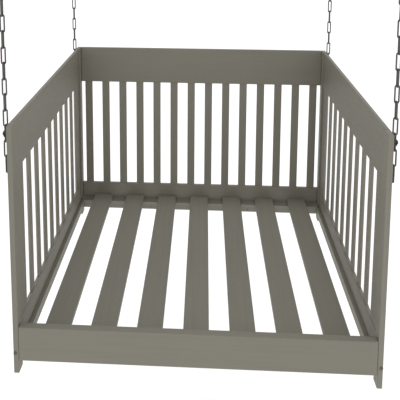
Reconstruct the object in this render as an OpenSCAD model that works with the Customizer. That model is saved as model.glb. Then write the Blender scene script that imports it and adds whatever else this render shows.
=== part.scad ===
// Porch swing: a slatted day bed with railings on three sides, hung on four link chains.
// X runs along the width, -Y is the open front, +Z is up.
// The origin is on the level of the feet, under the middle of the bed.

/* [Bed] */
// Overall width over the corner posts
bed_w = 1320; // [1200:10:1400]
// Overall depth over the corner posts
bed_d = 1045; // [1000:5:1100]
// Height of the top rails above the feet
bed_h = 935; // [850:5:1000]

/* [Frame boards] */
// Width of a corner post across the front
post_w = 20; // [18:1:24]
// Depth of a corner post from front to back
post_d = 40; // [36:1:50]
// Thickness of the rails on the sides and the back
rail_t = 14; // [12:1:16]
// Height of the top rails
top_rail_h = 188; // [150:2:200]
// Height of the lower rails
lower_rail_h = 124; // [100:2:130]
// Thickness of the front rail
front_rail_t = 26; // [20:1:30]
// Height of the front rail
front_rail_h = 130; // [116:2:140]
// Clear height of the feet under the rails
foot_h = 50; // [40:2:70]

/* [Spindles] */
// Width of a spindle
spindle_w = 39; // [34:1:42]
// Thickness of a spindle
spindle_t = 7; // [6:0.5:8]
// Distance from one spindle to the next
spindle_pitch = 92.6; // [90:0.2:94]
// Depth that a spindle reaches into each rail
tenon = 12; // [8:1:16]

/* [Deck] */
// Width of a deck slat
slat_w = 97; // [85:1:105]
// Thickness of a deck slat
slat_t = 20; // [16:1:24]
// Distance from one deck slat to the next
slat_pitch = 175; // [165:1:178]
// Height of the cleats that carry the deck
cleat_h = 40; // [34:1:48]
// Depth of the front and back cleats
cleat_d = 40; // [34:1:46]
// Thickness of the side cleats
side_cleat_t = 16; // [12:1:18]

/* [Chains] */
// Diameter of the chain wire
wire_d = 5.5; // [5:0.1:5.8]
// Clear width inside a link
link_gap = 8.4; // [8.2:0.1:9]
// Distance from one link to the next
link_pitch = 56; // [52:1:60]
// Links between the ceiling eye and the bolted link, an odd number
hanging_links = 31; // [7:2:31]
// Depth of the chain bolt under the top of the post
bolt_drop = 37; // [34:1:42]
// Diameter of the chain bolt
bolt_d = 8; // [7:0.5:8]

/* [Hidden] */
CORNERS = ["front_left", "front_right", "back_left", "back_right"];
SIDES = ["left", "right"];
slat_count = 7;
SLATS = [for (i = [1:slat_count]) str("deck_slat_", i)];

WOOD = [0.46, 0.44, 0.39];
STEEL = [0.30, 0.30, 0.28];
fine = 48;
wire_fn = 24;
slack = 0.1;            // room around a tenon, a dowel or a screw in its hole
link_slack = 0.3;       // room between the wires of two joined links

// Frame
half_w = bed_w / 2;
half_d = bed_d / 2;
inner_x = half_w - post_w;
side_len = bed_d - 2 * post_d;
back_len = bed_w - 2 * post_w;
side_x = half_w - rail_t / 2;
back_y = half_d - rail_t / 2;
lower_top = foot_h + lower_rail_h;
top_under = bed_h - top_rail_h;
panel_h = top_under - lower_top;

// Spindles and stiles
back_count = 14;
side_count = 8;
spindle_gap = spindle_pitch - spindle_w;
stile_t = 9;
stile_w = (side_len - side_count * spindle_pitch - spindle_gap) / 2;

// Deck
front_cleat_y = -half_d + front_rail_t + cleat_d / 2;
back_cleat_y = half_d - rail_t - cleat_d / 2;
side_cleat_x = half_w - rail_t - side_cleat_t / 2;
side_cleat_y0 = front_cleat_y + cleat_d / 2;
side_cleat_y1 = back_cleat_y - cleat_d / 2;
slat_y0 = -half_d + front_rail_t + 2;
slat_y1 = half_d - rail_t - 2;
slat_z = foot_h + cleat_h;
screw_r = 2;
screw_head_r = 4;
screw_head_h = 2.4;
slat_screw_l = 44;
long_screw_l = cleat_d + 10;
short_screw_l = side_cleat_t + 9;
cleat_screw_count = 5;
function slat_x(i) = (i - (slat_count - 1) / 2) * slat_pitch;
function cleat_screw_x(i) = (i - (cleat_screw_count - 1) / 2) * slat_pitch * 1.5;
function side_screw_y(i) = (i - (cleat_screw_count - 1) / 2) * side_len / (cleat_screw_count + 0.5);

// Chain links, measured along the middle of the wire
bend_r = (link_gap + wire_d) / 2;
joint_step = wire_d + link_slack;
link_l = link_pitch + joint_step;
link_half_w = link_gap / 2 + wire_d;
bolt_in = 8;                                    // chain bolt behind the middle of the post
chain_out = link_half_w + 1;                    // middle of the chain to the face of the post
chain_x = half_w + chain_out;
chain_y = half_d - post_d / 2 - bolt_in;
bolt_z = bed_h - bolt_drop;
function link_z(i) = bolt_z + i * link_pitch;   // middle of link i, counted up from the bolted one
eye_wire_z = link_z(hanging_links) + link_l / 2 - joint_step;

// Ceiling plates
eye_bend_r = 11;
eye_drop = 14;
plate_z = eye_wire_z + eye_bend_r + eye_drop;
plate_l = 84;
plate_w = 34;
plate_t = 5;
plate_hole_r = 3;
plate_hole_pitch = 60;

// Bolts
washer_t = 2;
washer_r = 13;
bolt_head_h = 5.3;
bolt_head_r = 7.4;
nut_flange_r = 10;
nut_flange_h = 1.5;
nut_barrel_r = 5;
nut_h = 13;
spacer_r = 8;
bolt_room = 0.05;
bed_bolt_r = 3;
bed_bolt_head_r = 6.5;
bed_bolt_head_h = 3.5;
bed_bolt_z = foot_h + 30;
bed_bolt_l = post_d + 34;
barrel_r = 5;
barrel_in = 24;          // barrel nut behind the end of the side rail
barrel_l = rail_t - 3;
dowel_r = 4;
dowel_l = 46;
dowel_in = 28;           // part of a side dowel in the rail
cross_dowel_l = 40;
cross_dowel_in = 13;     // part of a back or front dowel in the post
front_rail_y = half_d - front_rail_t / 2;

function corner_x(c) = (c == CORNERS[0] || c == CORNERS[2]) ? -1 : 1;
function corner_y(c) = (c == CORNERS[0] || c == CORNERS[1]) ? -1 : 1;
function side_sign(s) = s == SIDES[0] ? -1 : 1;

// Everything on a corner is drawn at +X +Y and mirrored into its place
module at_corner(c) {
    scale([corner_x(c), corner_y(c), 1]) children();
}

module at_side(s) {
    scale([side_sign(s), 1, 1]) children();
}

module bar_y(r, y0, y1) {
    translate([0, y0, 0]) rotate([-90, 0, 0]) cylinder(r = r, h = y1 - y0, $fn = fine);
}

module bar_x(r, x0, x1, fn = fine) {
    translate([x0, 0, 0]) rotate([0, 90, 0]) cylinder(r = r, h = x1 - x0, $fn = fn);
}

module block(x0, x1, y0, y1, z0, z1) {
    translate([x0, y0, z0]) cube([x1 - x0, y1 - y0, z1 - z0]);
}

// Heights of the dowels at the end of a rail, clear of the bolts in the post
top_dowels = [top_under + 0.2 * top_rail_h, top_under + 0.6 * top_rail_h];
side_lower_dowels = [foot_h + 0.75 * lower_rail_h];
cross_lower_dowels = [foot_h + 0.45 * lower_rail_h, foot_h + 0.85 * lower_rail_h];

module dowels_y(zs, room) {
    for (z = zs) translate([side_x, 0, z])
        bar_y(dowel_r + room, side_len / 2 - dowel_in - room, side_len / 2 + dowel_l - dowel_in + room);
}

module dowels_x(y, zs, room) {
    for (z = zs) translate([0, y, z])
        bar_x(dowel_r + room, inner_x - cross_dowel_l + cross_dowel_in - room,
            inner_x + cross_dowel_in + room);
}

module post(c) {
    color(WOOD) difference() {
        block(inner_x, half_w, half_d - post_d, half_d, 0, bed_h);
        translate([0, chain_y, bolt_z]) {
            bar_x(bolt_d / 2 + bolt_room, inner_x - 1, half_w + 1);
            chain_nut(bolt_room);
        }
        translate([side_x, 0, bed_bolt_z]) bar_y(bed_bolt_r + bolt_room, half_d - post_d - 1, half_d + 1);
        dowels_y(concat(top_dowels, side_lower_dowels), bolt_room);
        if (corner_y(c) > 0) dowels_x(back_y, concat(top_dowels, cross_lower_dowels), bolt_room);
        if (corner_y(c) < 0) dowels_x(front_rail_y, cross_lower_dowels, bolt_room);
    }
}

// A rail from the front post to the back post, with mortises from mortise_z0 up
module side_rail(z0, h, mortise_z0, dowel_zs) {
    color(WOOD) difference() {
        block(half_w - rail_t, half_w, -side_len / 2, side_len / 2, z0, z0 + h);
        translate([side_x, 0, mortise_z0]) side_panel(slack, tenon + 1);
        for (s = [-1, 1]) scale([1, s, 1]) {
            dowels_y(dowel_zs, bolt_room);
            if (z0 == foot_h) bed_bolt_way();
        }
        if (z0 == foot_h) short_screws(bolt_room);
    }
}

// The hole for a bed bolt and the cross hole for its barrel nut
module bed_bolt_way() {
    translate([side_x, 0, bed_bolt_z]) {
        bar_y(bed_bolt_r + bolt_room, side_len / 2 - bed_bolt_l + post_d - 1, side_len / 2 + 1);
        translate([0, side_len / 2 - barrel_in, 0])
            bar_x(barrel_r + bolt_room, -rail_t, barrel_l / 2 + bolt_room);
    }
}

module spindle_line(room, h) {
    for (i = [0:side_count - 1]) translate([0, (i - (side_count - 1) / 2) * spindle_pitch, h / 2])
        cube([spindle_t + 2 * room, spindle_w + 2 * room, h], center = true);
}

// Everything that stands in the rails of one side, from z = 0 up
module side_panel(room, h) {
    spindle_line(room, h);
    for (s = [-1, 1]) translate([0, s * (side_len / 2 - stile_w / 2), h / 2])
        cube([stile_t + 2 * room, stile_w + 2 * room, h], center = true);
}

module back_row(room, h) {
    for (i = [0:back_count - 1]) translate([(i - (back_count - 1) / 2) * spindle_pitch, 0, h / 2])
        cube([spindle_w + 2 * room, spindle_t + 2 * room, h], center = true);
}

module back_rail(z0, h, mortise_z0, dowel_zs) {
    color(WOOD) difference() {
        block(-inner_x, inner_x, half_d - rail_t, half_d, z0, z0 + h);
        translate([0, back_y, mortise_z0]) back_row(slack, tenon + 1);
        for (s = [-1, 1]) scale([s, 1, 1]) dowels_x(back_y, dowel_zs, bolt_room);
        if (z0 == foot_h) long_screws(1, bolt_room);
    }
}

module front_rail() {
    color(WOOD) difference() {
        block(-inner_x, inner_x, -half_d, -half_d + front_rail_t, foot_h, foot_h + front_rail_h);
        for (s = [-1, 1]) scale([s, -1, 1]) dowels_x(front_rail_y, cross_lower_dowels, bolt_room);
        long_screws(-1, bolt_room);
    }
}

module stile() {
    color(WOOD) block(side_x - stile_t / 2, side_x + stile_t / 2,
        side_len / 2 - stile_w, side_len / 2 - slack, lower_top - tenon, top_under + tenon);
}

module side_spindles() {
    color(WOOD) translate([side_x, 0, lower_top - tenon]) spindle_line(0, panel_h + 2 * tenon);
}

module back_spindles() {
    color(WOOD) translate([0, back_y, lower_top - tenon]) back_row(0, panel_h + 2 * tenon);
}

// Screws: a countersunk head with its face at the origin, the shaft going down
module screw(l, room) {
    translate([0, 0, -screw_head_h - room])
        cylinder(r1 = screw_r + room, r2 = screw_head_r + room, h = screw_head_h + room, $fn = fine);
    translate([0, 0, -l - room]) cylinder(r = screw_r + room, h = l, $fn = fine);
}

module slat_screws(room = 0) {
    for (i = [0:slat_count - 1]) for (s = [-1, 1])
        for (y = [-half_d + front_rail_t + cleat_d / 2, back_cleat_y])
        translate([slat_x(i) + s * slat_w / 4, y, slat_z + slat_t]) screw(slat_screw_l, room);
}

// Screws through the front or back cleat into the rail
module long_screws(way, room) {
    face = half_d - (way > 0 ? rail_t : front_rail_t) - cleat_d;
    for (i = [0:cleat_screw_count - 1])
        translate([cleat_screw_x(i), way * face, foot_h + cleat_h / 3])
            rotate([way * 90, 0, 0]) screw(long_screw_l, room);
}

// Screws through a side cleat into the side rail
module short_screws(room) {
    for (i = [0:cleat_screw_count - 1])
        translate([side_cleat_x - side_cleat_t / 2, side_screw_y(i), foot_h + cleat_h / 2])
            rotate([0, -90, 0]) screw(short_screw_l, room);
}

module side_cleat() {
    color(WOOD) difference() {
        block(side_cleat_x - side_cleat_t / 2, side_cleat_x + side_cleat_t / 2, side_cleat_y0, side_cleat_y1,
            foot_h, foot_h + cleat_h);
        short_screws(bolt_room);
    }
}

module end_cleat(y, way) {
    color(WOOD) difference() {
        block(-inner_x + slack, inner_x - slack, y - cleat_d / 2, y + cleat_d / 2, foot_h, foot_h + cleat_h);
        long_screws(way, bolt_room);
        slat_screws(bolt_room);
    }
}

module deck_slat(i) {
    color(WOOD) difference() {
        block(slat_x(i) - slat_w / 2, slat_x(i) + slat_w / 2, slat_y0, slat_y1, slat_z, slat_z + slat_t);
        slat_screws(bolt_room);
    }
}

// One chain link, standing along Z in the YZ plane
module link_shape() {
    r = wire_d / 2;
    straight = link_l - 2 * bend_r;
    for (s = [-1, 1]) translate([0, s * bend_r, -straight / 2]) cylinder(r = r, h = straight, $fn = wire_fn);
    for (t = [0, 180]) rotate([t, 0, 0]) translate([0, 0, straight / 2]) half_ring(bend_r, r);
}

// The upper half of a ring of wire in the YZ plane
module half_ring(bend, r) {
    rotate([90, 0, 90]) rotate_extrude(angle = 180, $fn = fine)
        translate([bend, 0]) circle(r = r, $fn = wire_fn);
}

// Links number first to last, counted up from the bolted link; the odd ones face the front
module links(first, last) {
    color(STEEL) for (i = [first:last]) translate([chain_x, chain_y, link_z(i)])
        rotate([0, 0, i % 2 == 0 ? 0 : 90]) link_shape();
}

// Ceiling plate with the eye that the chain hangs from
module ceiling_plate() {
    color(STEEL) {
        difference() {
            block(chain_x - plate_w / 2, chain_x + plate_w / 2, chain_y - plate_l / 2, chain_y + plate_l / 2,
                plate_z, plate_z + plate_t);
            for (s = [-1, 1]) translate([chain_x, chain_y + s * plate_hole_pitch / 2, plate_z - 1])
                cylinder(r = plate_hole_r, h = plate_t + 2, $fn = fine);
        }
        translate([chain_x, chain_y, eye_wire_z + eye_bend_r]) {
            rotate([180, 0, 0]) half_ring(eye_bend_r, wire_d / 2);
            for (s = [-1, 1]) translate([0, s * eye_bend_r, 0])
                cylinder(r = wire_d / 2, h = eye_drop + plate_t / 2, $fn = wire_fn);
        }
    }
}

// The stack on a chain bolt, from the tip inside the post to the head outside the chain
washer_x = chain_x + wire_d / 2;
head_x = washer_x + washer_t;

module at_bolt(c) {
    at_corner(c) translate([0, chain_y, bolt_z]) children();
}

module ring_x(r, hole, x0, x1) {
    difference() {
        bar_x(r, x0, x1);
        bar_x(hole, x0 - 1, x1 + 1);
    }
}

// A flanged nut let into the inner face of the post
module chain_nut(room) {
    bar_x(nut_flange_r + room, inner_x - (room > 0 ? 1 : 0), inner_x + nut_flange_h + room);
    bar_x(nut_barrel_r + room, inner_x, inner_x + nut_h + room);
}

module chain_bolts() {
    color(STEEL) for (c = CORNERS) at_bolt(c) {
        bar_x(bolt_d / 2, inner_x + 1, head_x);
        bar_x(bolt_head_r, head_x, head_x + bolt_head_h, 6);
    }
}

module chain_washers() {
    color(STEEL) for (c = CORNERS) at_bolt(c) ring_x(washer_r, bolt_d / 2 + bolt_room, washer_x, head_x);
}

module chain_spacers() {
    color(STEEL) for (c = CORNERS) at_bolt(c)
        ring_x(spacer_r, bolt_d / 2 + bolt_room, half_w, chain_x - wire_d / 2);
}

module chain_nuts() {
    color(STEEL) for (c = CORNERS) at_bolt(c) difference() {
        chain_nut(0);
        bar_x(bolt_d / 2 + bolt_room, inner_x - 1, inner_x + nut_h + 1);
    }
}

module bed_bolts() {
    color(STEEL) for (c = CORNERS) at_corner(c) translate([side_x, 0, bed_bolt_z]) {
        bar_y(bed_bolt_r, half_d - bed_bolt_l, half_d);
        bar_y(bed_bolt_head_r, half_d, half_d + bed_bolt_head_h);
    }
}

module barrel_nuts() {
    color(STEEL) for (c = CORNERS) at_corner(c) translate([side_x, side_len / 2 - barrel_in, bed_bolt_z])
        difference() {
            bar_x(barrel_r, -barrel_l / 2, barrel_l / 2);
            bar_y(bed_bolt_r + bolt_room, -barrel_r - 1, barrel_r + 1);
        }
}

module rail_dowels() {
    color(WOOD) for (c = CORNERS) at_corner(c) {
        dowels_y(concat(top_dowels, side_lower_dowels), 0);
        if (corner_y(c) > 0) dowels_x(back_y, concat(top_dowels, cross_lower_dowels), 0);
        if (corner_y(c) < 0) dowels_x(front_rail_y, cross_lower_dowels, 0);
    }
}

for (c = CORNERS) {
    at_corner(c) post(c);
    at_corner(c) stile();
    at_corner(c) ceiling_plate();
    at_corner(c) links(hanging_links, hanging_links);
    at_corner(c) links(2, hanging_links - 1);
    at_corner(c) links(1, 1);
    at_corner(c) links(-2, 0);
}
for (s = SIDES) {
    at_side(s) side_rail(top_under, top_rail_h, top_under - 1, top_dowels);
    at_side(s) side_rail(foot_h, lower_rail_h, lower_top - tenon, side_lower_dowels);
    at_side(s) side_spindles();
    at_side(s) side_cleat();
}
for (i = [0:slat_count - 1]) {
    deck_slat(i);
}
back_rail(top_under, top_rail_h, top_under - 1, top_dowels);  // back_top_rail
back_rail(foot_h, lower_rail_h, lower_top - tenon, cross_lower_dowels);  // back_lower_rail
front_rail();
back_spindles();
end_cleat(front_cleat_y, -1);  // front_cleat
end_cleat(back_cleat_y, 1);  // back_cleat
chain_bolts();
chain_washers();
chain_spacers();
chain_nuts();
bed_bolts();
barrel_nuts();
color(STEEL) slat_screws();
color(STEEL) for (s = [-1, 1]) long_screws(s, 0);  // long_cleat_screws
color(STEEL) for (s = SIDES) at_side(s) short_screws(0);  // short_cleat_screws
rail_dowels();
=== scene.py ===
"""A slatted day-bed porch swing on four link chains."""

import math
import random

import bmesh
import bpy
from bpy.props import FloatProperty, FloatVectorProperty, IntProperty, PointerProperty
from bpy.types import Operator, Panel, PropertyGroup
from mathutils import Matrix, Vector


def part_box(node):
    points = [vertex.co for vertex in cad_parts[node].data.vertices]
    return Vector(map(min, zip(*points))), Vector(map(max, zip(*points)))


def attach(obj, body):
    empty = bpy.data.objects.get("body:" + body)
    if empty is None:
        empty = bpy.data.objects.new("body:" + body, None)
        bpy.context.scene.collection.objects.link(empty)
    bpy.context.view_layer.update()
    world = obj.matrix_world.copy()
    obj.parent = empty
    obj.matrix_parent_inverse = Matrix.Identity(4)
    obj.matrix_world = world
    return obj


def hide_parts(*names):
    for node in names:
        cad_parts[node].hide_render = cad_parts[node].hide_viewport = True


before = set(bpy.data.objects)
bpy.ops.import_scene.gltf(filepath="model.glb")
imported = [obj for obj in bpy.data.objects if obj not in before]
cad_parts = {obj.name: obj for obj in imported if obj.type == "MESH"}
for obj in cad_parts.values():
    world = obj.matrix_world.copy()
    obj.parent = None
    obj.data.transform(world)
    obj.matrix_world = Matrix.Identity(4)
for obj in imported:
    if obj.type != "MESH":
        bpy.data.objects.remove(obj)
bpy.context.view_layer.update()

bl_info = {
    "name": "Porch swing",
    "version": (1, 0, 0),
    "blender": (4, 5, 0),
    "location": "3D View > Sidebar > Porch swing",
    "description": "Builds the boards, hardware and stage of a hanging porch swing",
    "category": "Add Mesh",
}

CORNERS = ("front_left", "front_right", "back_left", "back_right")
SIDES = ("left", "right")
LINK_NODES = ("top_link", "chain", "bottom_link", "anchor_links")


class SwingBoards(PropertyGroup):
    """Sizes of the wooden parts that the frame's boxes don't give."""

    edge_radius: FloatProperty(
        name="Edge radius",
        description="Rounding along the edges of the rails, posts and slats",
        default=0.0025, min=0.0005, max=0.006, unit="LENGTH",
    )
    spindle_edge: FloatProperty(
        name="Spindle edge",
        description="Rounding along the edges of the thin spindles",
        default=0.0012, min=0.0003, max=0.003, unit="LENGTH",
    )
    back_spindles: IntProperty(
        name="Back spindles", description="Number of spindles in the back", default=14, min=2
    )
    side_spindles: IntProperty(
        name="Side spindles", description="Number of spindles in each side", default=8, min=2
    )
    spindle_width: FloatProperty(
        name="Spindle width", description="Width of one spindle", default=0.039, unit="LENGTH"
    )
    joint_gap: FloatProperty(
        name="Joint gap",
        description="Length that a board is shortened by at a butt joint",
        default=0.0003, min=0.0, max=0.002, unit="LENGTH",
    )
    proud: FloatProperty(
        name="Fixings proud",
        description="Height that screw heads and let-in nuts stand above the paint",
        default=0.0002, min=0.0, max=0.001, unit="LENGTH",
    )


class SwingBolts(PropertyGroup):
    """Sizes of the bolts."""

    hex_radius: FloatProperty(
        name="Hex corner radius", description="Middle of a chain bolt's head to its corners",
        default=0.0074, unit="LENGTH",
    )
    hex_height: FloatProperty(
        name="Hex height", description="Height of a chain bolt's head", default=0.0053, unit="LENGTH"
    )
    chamfer: FloatProperty(
        name="Chamfer", description="Rounding of the edges of a hexagonal head", default=0.0007, unit="LENGTH"
    )
    chain_shaft: FloatProperty(
        name="Chain bolt radius", description="Radius of a chain bolt", default=0.004, unit="LENGTH"
    )
    chain_length: FloatProperty(
        name="Chain bolt length", description="Length of a chain bolt's shaft", default=0.034, unit="LENGTH"
    )
    dome_radius: FloatProperty(
        name="Dome radius", description="Radius of a bed bolt's domed head", default=0.0065, unit="LENGTH"
    )
    dome_height: FloatProperty(
        name="Dome height", description="Height of a bed bolt's domed head", default=0.0035, unit="LENGTH"
    )
    bed_shaft: FloatProperty(
        name="Bed bolt radius", description="Radius of a bed bolt", default=0.003, unit="LENGTH"
    )
    bed_length: FloatProperty(
        name="Bed bolt length", description="Length of a bed bolt's shaft", default=0.074, unit="LENGTH"
    )


class SwingFinish(PropertyGroup):
    """Colours and surface of the paint and the steel."""

    paint: FloatVectorProperty(
        name="Paint", description="Colour of the paint", subtype="COLOR", default=(0.185, 0.174, 0.141)
    )
    paint_dark: FloatVectorProperty(
        name="Paint in the grain", description="Paint that has settled in the grain",
        subtype="COLOR", default=(0.158, 0.148, 0.119),
    )
    bare_wood: FloatVectorProperty(
        name="Bare wood", description="Wood under a worn edge", subtype="COLOR", default=(0.27, 0.235, 0.175)
    )
    wear: FloatProperty(
        name="Wear", description="How much of an edge is rubbed through",
        default=0.35, min=0.0, max=1.0, subtype="FACTOR",
    )
    grain_depth: FloatProperty(
        name="Grain depth", description="Depth of the grain under the paint",
        default=0.0005, min=0.0, max=0.002, unit="LENGTH",
    )
    chain_steel: FloatVectorProperty(
        name="Chain steel", description="Colour of the chain", subtype="COLOR", default=(0.085, 0.085, 0.078)
    )
    bolt_steel: FloatVectorProperty(
        name="Bolt steel", description="Colour of the bolts", subtype="COLOR", default=(0.06, 0.055, 0.048)
    )
    bed_bolt_steel: FloatVectorProperty(
        name="Bed bolt steel", description="Colour of the bed bolts and screws", subtype="COLOR",
        default=(0.105, 0.098, 0.082),
    )
    dowel_wood: FloatVectorProperty(
        name="Dowel wood", description="Colour of the bare dowels", subtype="COLOR",
        default=(0.50, 0.33, 0.17),
    )


class SwingStage(PropertyGroup):
    """Floor, light and camera."""

    floor_drop: FloatProperty(
        name="Floor", description="Distance from the feet down to the floor", default=0.9, unit="LENGTH"
    )
    floor_size: FloatProperty(
        name="Floor size", description="Width of the floor", default=120.0, unit="LENGTH"
    )
    floor_tone: FloatProperty(
        name="Floor tone", description="Brightness of the pale floor", default=0.9, min=0.0, max=1.0
    )
    floor_glow: FloatProperty(
        name="Floor glow", description="Light that the floor gives off by itself", default=0.2, min=0.0
    )
    sky: FloatProperty(name="Studio light", description="Strength of the even light", default=1.03, min=0.0)
    key: FloatProperty(
        name="Key light", description="Power of the large front lamp", default=10.0, unit="POWER"
    )
    lens: FloatProperty(name="Lens", description="Focal length in millimetres", default=47.769, min=10.0)
    shift: FloatVectorProperty(
        name="Shift", description="Sideways and upright shift of the lens", size=2, default=(0.047, -0.59)
    )
    eye: FloatVectorProperty(
        name="Eye", description="Place of the camera", size=3, subtype="TRANSLATION",
        default=(0.0231, -2.2516, 1.6933),
    )
    turn: FloatProperty(name="Turn", description="Heading to the left", default=0.0455, subtype="ANGLE")
    tilt: FloatProperty(name="Tilt", description="Angle above level", default=-0.1093, subtype="ANGLE")
    roll: FloatProperty(
        name="Roll", description="Turn about the line of sight", default=0.0034, subtype="ANGLE"
    )


# Materials


class Nodes:
    """Short ways to add and join the nodes of one material."""

    def __init__(self, name):
        self.material = bpy.data.materials.new(name)
        self.material.use_nodes = True
        self.tree = self.material.node_tree
        self.shader = next(n for n in self.tree.nodes if n.type == "BSDF_PRINCIPLED")

    def add(self, kind, **values):
        node = self.tree.nodes.new(kind)
        for key, value in values.items():
            if hasattr(node, key):
                setattr(node, key, value)
            else:
                node.inputs[key].default_value = value
        return node

    def join(self, source, target):
        self.tree.links.new(source, target)

    def object_pattern(self, scale):
        place = self.add("ShaderNodeTexCoord")
        mapping = self.add("ShaderNodeMapping")
        mapping.inputs["Scale"].default_value = scale
        self.join(place.outputs["Object"], mapping.inputs["Vector"])
        return mapping.outputs["Vector"]

    def noise(self, vector, scale, detail, roughness=0.55, distortion=0.0):
        node = self.add("ShaderNodeTexNoise")
        node.inputs["Scale"].default_value = scale
        node.inputs["Detail"].default_value = detail
        node.inputs["Roughness"].default_value = roughness
        node.inputs["Distortion"].default_value = distortion
        self.join(vector, node.inputs["Vector"])
        return node.outputs["Fac"]

    def spread(self, value, low, high, to_low, to_high):
        node = self.add("ShaderNodeMapRange")
        node.inputs["From Min"].default_value = low
        node.inputs["From Max"].default_value = high
        node.inputs["To Min"].default_value = to_low
        node.inputs["To Max"].default_value = to_high
        self.join(value, node.inputs["Value"])
        return node.outputs["Result"]

    def maths(self, operation, a, b):
        node = self.add("ShaderNodeMath")
        node.operation = operation
        for socket, value in zip(node.inputs, (a, b)):
            if isinstance(value, float):
                socket.default_value = value
            else:
                self.join(value, socket)
        return node.outputs["Value"]

    def mix(self, factor, a, b):
        node = self.add("ShaderNodeMix")
        node.data_type = "RGBA"
        self.join(factor, node.inputs["Factor"])
        for name, value in (("A", a), ("B", b)):
            socket = next(s for s in node.inputs if s.name == name and s.type == "RGBA")
            if isinstance(value, tuple):
                socket.default_value = (*value, 1.0)
            else:
                self.join(value, socket)
        return next(s for s in node.outputs if s.type == "RGBA")

    def bump(self, height, distance, strength=1.0, below=None):
        node = self.add("ShaderNodeBump")
        node.inputs["Distance"].default_value = distance
        node.inputs["Strength"].default_value = strength
        self.join(height, node.inputs["Height"])
        if below is not None:
            self.join(below, node.inputs["Normal"])
        return node.outputs["Normal"]


def painted_wood(name, along, finish):
    """Satin paint over close grain that runs along one axis (0, 1 or 2)."""
    n = Nodes(name)
    stretch = [85.0, 85.0, 85.0]
    stretch[along] = 2.6
    grain = n.noise(n.object_pattern(stretch), 1.0, 5.0, 0.6, 0.6)
    stretch[along] = 14.0
    brush = n.noise(n.object_pattern([3.2 * s for s in stretch]), 1.0, 2.0, 0.5)
    still = n.object_pattern((1.0, 1.0, 1.0))
    cloud = n.noise(still, 3.1, 3.0)
    speck = n.noise(still, 900.0, 2.0)
    tone = n.add("ShaderNodeAttribute", attribute_name="board_tone").outputs["Fac"]
    edge = n.add("ShaderNodeAttribute", attribute_name="worn_edge").outputs["Fac"]

    paint = tuple(finish.paint)
    settled = n.spread(grain, 0.42, 0.64, 0.0, 1.0)
    colour = n.mix(n.maths("MULTIPLY", settled, 0.55), paint, tuple(finish.paint_dark))
    lighter = tuple(c * 1.09 for c in paint)
    colour = n.mix(n.maths("MULTIPLY", n.spread(cloud, 0.35, 0.7, 0.0, 1.0), 0.4), colour, lighter)
    darker = tuple(c * 0.86 for c in paint)
    colour = n.mix(n.maths("MULTIPLY", tone, 0.45), colour, darker)
    rubbed = n.maths("MULTIPLY", edge, n.spread(n.noise(still, 34.0, 4.0, 0.7), 0.56, 0.66, 0.0, finish.wear))
    colour = n.mix(rubbed, colour, tuple(finish.bare_wood))
    n.join(colour, n.shader.inputs["Base Color"])
    n.join(n.spread(brush, 0.3, 0.7, 0.46, 0.62), n.shader.inputs["Roughness"])
    n.shader.inputs["Specular IOR Level"].default_value = 0.35
    low = n.bump(grain, finish.grain_depth, 0.55)
    low = n.bump(brush, 0.00018, 0.45, low)
    n.join(n.bump(speck, 0.00005, 0.35, low), n.shader.inputs["Normal"])
    return n.material


def bare_wood(name, finish):
    n = Nodes(name)
    grain = n.noise(n.object_pattern((140.0, 140.0, 140.0)), 1.0, 4.0)
    colour = tuple(finish.dowel_wood)
    n.join(n.mix(grain, colour, tuple(c * 0.7 for c in colour)), n.shader.inputs["Base Color"])
    n.shader.inputs["Roughness"].default_value = 0.7
    return n.material


def coated_steel(name, colour, scale, shine):
    """Dull coated steel with slight mottling and scuffs that show the metal."""
    n = Nodes(name)
    still = n.object_pattern((1.0, 1.0, 1.0))
    mottle = n.noise(still, scale, 5.0, 0.6)
    scuff = n.spread(n.noise(still, scale * 3.3, 4.0, 0.7), 0.60, 0.70, 0.0, 0.5)
    dark = tuple(c * 0.72 for c in colour)
    light = tuple(min(1.0, c * 1.25) for c in colour)
    base = n.mix(n.spread(mottle, 0.35, 0.65, 0.0, 1.0), dark, light)
    n.join(n.mix(scuff, base, tuple(min(1.0, c * 2.0) for c in colour)), n.shader.inputs["Base Color"])
    n.join(n.spread(mottle, 0.3, 0.7, shine - 0.08, shine + 0.12), n.shader.inputs["Roughness"])
    n.shader.inputs["Metallic"].default_value = 0.55
    n.join(n.bump(mottle, 0.0002, 0.4), n.shader.inputs["Normal"])
    return n.material


def finish_of(name, make, *values):
    """The named material, made once and shared by the operators."""
    return bpy.data.materials.get(name) or make(name, *values)


def paint_along(context, along):
    name = "Warm grey paint, grain " + ("across", "front to back", "upright")[along]
    return finish_of(name, painted_wood, along, context.scene.swing_finish)


# Boards


class Joinery:
    """Collects bevelled boards into one mesh, with a tone for each board and a mark on its edges."""

    def __init__(self, seed):
        self.bm = bmesh.new()
        self.worn = self.bm.faces.layers.float.new("worn_edge")
        self.tone = self.bm.faces.layers.float.new("board_tone")
        self.chance = random.Random(seed)

    def board(self, low, high, edge, segments=3):
        low, high = Vector(low), Vector(high)
        before = set(self.bm.faces)
        corners = bmesh.ops.create_cube(self.bm, size=1.0)["verts"]
        bmesh.ops.scale(self.bm, vec=high - low, verts=corners)
        bmesh.ops.translate(self.bm, vec=(low + high) / 2, verts=corners)
        edges = list({e for v in corners for e in v.link_edges})
        rounded = bmesh.ops.bevel(
            self.bm, geom=edges, offset=edge, offset_type="OFFSET", segments=segments,
            profile=0.5, affect="EDGES", clamp_overlap=True, material=-1,
        )["faces"]
        for face in rounded:
            face[self.worn] = 1.0
            face.smooth = True
        tone = self.chance.random()
        for face in set(self.bm.faces) - before:
            face[self.tone] = tone

    def piece(self, name, material, nodes):
        mesh = bpy.data.meshes.new(name)
        self.bm.to_mesh(mesh)
        self.bm.free()
        return place_piece(name, mesh, material, nodes)


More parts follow.
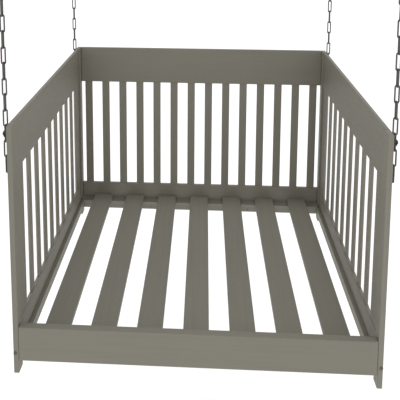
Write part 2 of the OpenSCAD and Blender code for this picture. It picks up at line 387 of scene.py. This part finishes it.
def place_piece(name, mesh, material, nodes):
    piece = bpy.data.objects.new(name, mesh)
    bpy.context.scene.collection.objects.link(piece)
    mesh.materials.append(material)
    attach(piece, "bed")
    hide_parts(*nodes)
    return piece


def shorter(low, high, axis, by):
    """The box with both ends drawn in along one axis."""
    low, high = Vector(low), Vector(high)
    low[axis] += by
    high[axis] -= by
    return low, high


def dress(node, material):
    """Gives a node of the frame a finished material."""
    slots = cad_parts[node].material_slots
    if not slots:
        raise RuntimeError(node + " has no material slot")
    for slot in slots:
        slot.material = material


class SWING_OT_posts(Operator):
    """Make the four corner posts and the wide stiles beside them"""

    bl_idname = "swing.posts"
    bl_label = "Posts and stiles"

    def execute(self, context):
        boards = context.scene.swing_boards
        paint = paint_along(context, 2)
        for number, corner in enumerate(CORNERS):
            post = Joinery(number)
            post.board(*shorter(*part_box(corner + "_post"), 0, boards.proud), boards.edge_radius)
            post.piece(corner + "_corner_post", paint, [corner + "_post"])
            stile = Joinery(10 + number)
            stile.board(*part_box(corner + "_stile"), boards.spindle_edge)
            stile.piece(corner + "_side_stile", paint, [corner + "_stile"])
        return {"FINISHED"}


class SWING_OT_rails(Operator):
    """Make the top rails, the lower rails and the front rail"""

    bl_idname = "swing.rails"
    bl_label = "Rails"

    def execute(self, context):
        boards = context.scene.swing_boards
        rails = [(side + level, 1) for side in SIDES for level in ("_top_rail", "_lower_rail")]
        rails += [("back_top_rail", 0), ("back_lower_rail", 0), ("front_rail", 0)]
        for number, (node, axis) in enumerate(rails):
            rail = Joinery(20 + number)
            rail.board(*shorter(*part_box(node), axis, boards.joint_gap), boards.edge_radius)
            rail.piece(node + "_board", paint_along(context, axis), [node])
        return {"FINISHED"}


class SWING_OT_spindles(Operator):
    """Make the upright spindles of the back and the two sides"""

    bl_idname = "swing.spindles"
    bl_label = "Spindles"

    def execute(self, context):
        boards = context.scene.swing_boards
        rows = [("back_spindles", 0, boards.back_spindles)]
        rows += [(side + "_spindles", 1, boards.side_spindles) for side in SIDES]
        for number, (node, axis, count) in enumerate(rows):
            low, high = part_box(node)
            first = low[axis]
            pitch = (high[axis] - low[axis] - boards.spindle_width) / (count - 1)
            row = Joinery(30 + number)
            for i in range(count):
                low[axis] = first + i * pitch
                high[axis] = low[axis] + boards.spindle_width
                row.board(low, high, boards.spindle_edge)
            row.piece(node + "_row", paint_along(context, 2), [node])
        return {"FINISHED"}


class SWING_OT_deck(Operator):
    """Make the deck slats and the cleats under them"""

    bl_idname = "swing.deck"
    bl_label = "Deck"

    def execute(self, context):
        boards = context.scene.swing_boards
        slats = sorted(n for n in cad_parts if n.startswith("deck_slat_"))
        if not slats:
            raise RuntimeError("the frame has no deck slats")
        for number, node in enumerate(slats):
            slat = Joinery(40 + number)
            slat.board(*shorter(*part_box(node), 2, boards.proud), boards.edge_radius)
            slat.piece(node + "_board", paint_along(context, 1), [node])
        cleats = [("front_cleat", 0), ("back_cleat", 0), ("left_cleat", 1), ("right_cleat", 1)]
        for number, (node, axis) in enumerate(cleats):
            cleat = Joinery(50 + number)
            cleat.board(*shorter(*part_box(node), 1 - axis, boards.proud), boards.spindle_edge)
            cleat.piece(node + "_board", paint_along(context, axis), [node])
        return {"FINISHED"}


class SWING_OT_chains(Operator):
    """Finish the chain links and the ceiling plates"""

    bl_idname = "swing.chains"
    bl_label = "Chains"

    def execute(self, context):
        colour = tuple(context.scene.swing_finish.chain_steel)
        links = finish_of("Grey chain steel", coated_steel, colour, 160.0, 0.42)
        plates = finish_of("Grey plate steel", coated_steel, colour, 60.0, 0.48)
        for corner in CORNERS:
            for part in LINK_NODES:
                dress(corner + "_" + part, links)
            dress(corner + "_ceiling_plate", plates)
        return {"FINISHED"}


class Turning:
    """Collects turned and hexagonal steel parts that stand along X or Y into one mesh."""

    def __init__(self):
        self.bm = bmesh.new()

    def turned(self, outline, place, steps=32):
        """Spins an outline of (distance along the axis, radius) pairs and sets it in place."""
        points = [self.bm.verts.new((along, radius, 0.0)) for along, radius in outline]
        lines = [self.bm.edges.new(pair) for pair in zip(points, points[1:])]
        before = set(self.bm.verts) - set(points)
        bmesh.ops.spin(
            self.bm, geom=points + lines, cent=(0.0, 0.0, 0.0), axis=(1.0, 0.0, 0.0),
            angle=2 * math.pi, steps=steps, use_merge=True, use_duplicate=False,
        )
        made = [v for v in self.bm.verts if v not in before]
        bmesh.ops.remove_doubles(self.bm, verts=made, dist=1e-6)
        made = [v for v in self.bm.verts if v not in before]
        for face in {f for v in made for f in v.link_faces}:
            face.smooth = True
        bmesh.ops.transform(self.bm, matrix=place, verts=made)

    def hexagon(self, radius, low, high, place, edge):
        """A six-sided head from low to high along the axis, its corners turned off."""
        made = bmesh.ops.create_cone(
            self.bm, cap_ends=True, cap_tris=False, segments=6,
            radius1=radius, radius2=radius, depth=high - low,
        )["verts"]
        stand = Matrix.Translation(((low + high) / 2, 0.0, 0.0)) @ Matrix.Rotation(math.pi / 2, 4, "Y")
        bmesh.ops.transform(self.bm, matrix=place @ stand, verts=made)
        edges = list({e for v in made for e in v.link_edges})
        bmesh.ops.bevel(
            self.bm, geom=edges, offset=edge, offset_type="OFFSET", segments=2,
            profile=0.5, affect="EDGES", clamp_overlap=True, material=-1,
        )

    def piece(self, name, material, node):
        bmesh.ops.recalc_face_normals(self.bm, faces=self.bm.faces)
        mesh = bpy.data.meshes.new(name)
        self.bm.to_mesh(mesh)
        self.bm.free()
        return place_piece(name, mesh, material, [node])


def outward(point, axis):
    """A place on one corner, with local X pointing out of the bed along X (0) or Y (1)."""
    if axis == 0:
        turn = 0.0 if point.x > 0 else math.pi
    else:
        turn = math.pi / 2 if point.y > 0 else -math.pi / 2
    return Matrix.Translation(point) @ Matrix.Rotation(turn, 4, "Z")


class SWING_OT_hardware(Operator):
    """Make the bolts and finish the washers, nuts, screws and dowels"""

    bl_idname = "swing.hardware"
    bl_label = "Hardware"

    def execute(self, context):
        finish = context.scene.swing_finish
        steel = finish_of("Dark bolt steel", coated_steel, tuple(finish.bolt_steel), 220.0, 0.4)
        bronze = finish_of("Bronze bolt steel", coated_steel, tuple(finish.bed_bolt_steel), 260.0, 0.45)
        self.chain_bolts(context, steel)
        self.bed_bolts(context, bronze)
        for node in ("chain_washers", "chain_spacers"):
            dress(node, steel)
        for node in ("barrel_nuts", "long_cleat_screws", "short_cleat_screws"):
            dress(node, bronze)
        dress("slat_screws", paint_along(context, 1))
        dress("chain_nuts", paint_along(context, 2))
        dress("rail_dowels", finish_of("Bare dowel wood", bare_wood, finish))
        return {"FINISHED"}

    def chain_bolts(self, context, steel):
        sizes = context.scene.swing_bolts
        low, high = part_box("chain_bolts")
        axis_y = (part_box("front_left_chain")[1].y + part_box("front_left_chain")[0].y) / 2
        reach = high.x - sizes.hex_height
        radius = sizes.chain_shaft
        bolts = Turning()
        for side in (-1, 1):
            for end in (-1, 1):
                place = outward(Vector((side * reach, end * abs(axis_y), (low.z + high.z) / 2)), 0)
                bolts.hexagon(sizes.hex_radius, 0.0, sizes.hex_height, place, sizes.chamfer)
                shaft = ((0.0, 0.0), (0.0, radius), (-sizes.chain_length, radius), (-sizes.chain_length, 0.0))
                bolts.turned(shaft, place)
        bolts.piece("chain_bolt_set", steel, "chain_bolts")

    def bed_bolts(self, context, bronze):
        sizes = context.scene.swing_bolts
        low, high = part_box("bed_bolts")
        h, r, shaft = sizes.dome_height, sizes.dome_radius, sizes.bed_shaft
        socket = 0.3 * r
        outline = [(0.45 * h, 0.0), (0.45 * h, socket), (0.97 * h, 1.1 * socket)]
        outline += [(h * math.cos(t), r * (0.36 + 0.64 * math.sin(t))) for t in (0.0, 0.4, 0.8, 1.2, 1.5)]
        outline += [(0.0, r), (0.0, shaft), (-sizes.bed_length, shaft), (-sizes.bed_length, 0.0)]
        bolts = Turning()
        for side in (-1, 1):
            for end in (-1, 1):
                seat = Vector((side * (high.x - r), end * (high.y - h), (low.z + high.z) / 2))
                bolts.turned(outline, outward(seat, 1))
        bolts.piece("bed_bolt_set", bronze, "bed_bolts")


class SWING_OT_stage(Operator):
    """Set up the pale floor, the soft studio light and the camera"""

    bl_idname = "swing.stage"
    bl_label = "Stage"

    def execute(self, context):
        stage = context.scene.swing_stage
        self.floor(context, stage)
        self.lights(context, stage)
        self.camera(context, stage)
        context.scene.view_settings.view_transform = "Standard"
        return {"FINISHED"}

    def floor(self, context, stage):
        bm = bmesh.new()
        bmesh.ops.create_grid(bm, x_segments=1, y_segments=1, size=stage.floor_size / 2)
        bmesh.ops.translate(bm, vec=(0.0, 0.0, -stage.floor_drop), verts=bm.verts)
        mesh = bpy.data.meshes.new("Pale floor")
        bm.to_mesh(mesh)
        bm.free()
        floor = bpy.data.objects.new("Pale_floor", mesh)
        context.scene.collection.objects.link(floor)
        n = Nodes("Pale floor")
        tone = stage.floor_tone
        n.shader.inputs["Base Color"].default_value = (tone, tone, tone, 1.0)
        n.shader.inputs["Roughness"].default_value = 0.9
        n.shader.inputs["Specular IOR Level"].default_value = 0.1
        n.shader.inputs["Emission Color"].default_value = (1.0, 1.0, 1.0, 1.0)
        n.shader.inputs["Emission Strength"].default_value = stage.floor_glow
        mesh.materials.append(n.material)

    def lights(self, context, stage):
        world = bpy.data.worlds.new("Even studio light")
        world.use_nodes = True
        background = next(n for n in world.node_tree.nodes if n.type == "BACKGROUND")
        background.inputs["Color"].default_value = (1.0, 1.0, 1.0, 1.0)
        background.inputs["Strength"].default_value = stage.sky
        context.scene.world = world
        lamps = (("Key", (-1.8, -3.2, 2.6), 2.4, 1.0), ("Fill", (2.6, -2.4, 1.6), 2.4, 0.5),
                 ("Back", (0.5, 3.0, 2.6), 2.4, 0.5))
        for name, place, size, share in lamps:
            light = bpy.data.lights.new(name + " lamp", "AREA")
            light.energy = stage.key * share
            light.size = size
            lamp = bpy.data.objects.new(name + "_lamp", light)
            lamp.location = place
            aim = Vector((0.0, 0.0, 0.5)) - lamp.location
            lamp.rotation_euler = aim.to_track_quat("-Z", "Y").to_euler()
            context.scene.collection.objects.link(lamp)

    def camera(self, context, stage):
        data = bpy.data.cameras.new("Camera")
        data.lens = stage.lens
        data.shift_x, data.shift_y = stage.shift
        camera = bpy.data.objects.new("Camera", data)
        context.scene.collection.objects.link(camera)
        camera.matrix_world = (
            Matrix.Translation(stage.eye)
            @ Matrix.Rotation(stage.turn, 4, "Z")
            @ Matrix.Rotation(math.pi / 2 + stage.tilt, 4, "X")
            @ Matrix.Rotation(stage.roll, 4, "Z")
        )
        context.scene.camera = camera


class SWING_PT_panel(Panel):
    """The swing's settings and steps in the sidebar"""

    bl_idname = "SWING_PT_panel"
    bl_label = "Porch swing"
    bl_space_type = "VIEW_3D"
    bl_region_type = "UI"
    bl_category = "Porch swing"

    def draw(self, context):
        scene = context.scene
        for group in (getattr(scene, name) for name in GROUPS):
            box = self.layout.box()
            for name in group.__annotations__:
                box.prop(group, name)
        for operator in OPERATORS:
            self.layout.operator(operator.bl_idname)


GROUPS = {
    "swing_boards": SwingBoards,
    "swing_bolts": SwingBolts,
    "swing_finish": SwingFinish,
    "swing_stage": SwingStage,
}
OPERATORS = (
    SWING_OT_posts, SWING_OT_rails, SWING_OT_spindles, SWING_OT_deck,
    SWING_OT_chains, SWING_OT_hardware, SWING_OT_stage,
)


def register():
    for name, group in GROUPS.items():
        bpy.utils.register_class(group)
        setattr(bpy.types.Scene, name, PointerProperty(type=group))
    for item in (*OPERATORS, SWING_PT_panel):
        bpy.utils.register_class(item)


def unregister():
    for item in reversed((*OPERATORS, SWING_PT_panel)):
        bpy.utils.unregister_class(item)
    for name, group in reversed(GROUPS.items()):
        delattr(bpy.types.Scene, name)
        bpy.utils.unregister_class(group)


def main():
    register()
    for operator in OPERATORS:
        getattr(bpy.ops.swing, operator.bl_idname.split(".")[1])()


if __name__ == "__main__":
    main()
